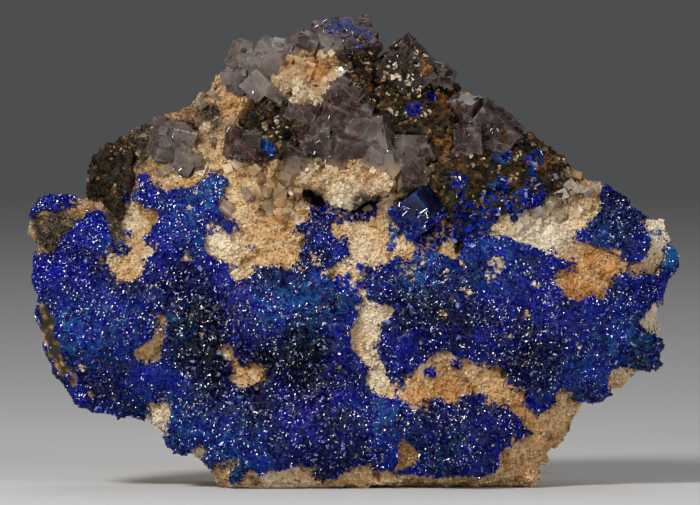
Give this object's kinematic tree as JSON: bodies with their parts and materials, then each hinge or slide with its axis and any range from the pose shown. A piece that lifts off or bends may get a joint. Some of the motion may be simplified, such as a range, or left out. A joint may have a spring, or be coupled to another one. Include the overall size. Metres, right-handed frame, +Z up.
{
  "type": "linarite specimen",
  "caption": "Mineral specimen: upright piece of cream vein rock with blue linarite crusts, dark gossan and grey-violet fluorite cubes, resting on a flat broken base.",
  "frame": {"origin": "on the flat broken base that the specimen stands on", "axes": "+X along the width, to the right as seen from the front; +Y from the front to the back; +Z up"},
  "size_m": [0.1093, 0.0432, 0.0783],
  "materials": {
    "rock": "rough sugary cream to tan rock with orange stains",
    "linarite": "sparkling deep blue crust of tiny crystals",
    "gossan": "dull dark brown to black granular crust",
    "fluorite": "glassy grey-violet translucent cubes",
    "coated_crystal": "fluorite cube under a thin blue coat"
  },
  "bodies": {
    "root": {"matrix": "rock", "linarite_left": "linarite", "linarite_right": "linarite", "linarite_upper_right": "linarite", "linarite_cap": "linarite", "gossan_left": "gossan", "gossan_hollow": "gossan", "gossan_right": "gossan", "fluorite_main": "fluorite", "fluorite_upper_left": "fluorite", "fluorite_shoulder": "fluorite", "fluorite_left": "fluorite", "fluorite_hollow": "fluorite", "blue_crystal": "coated_crystal"}
  },
  "joints": []
}
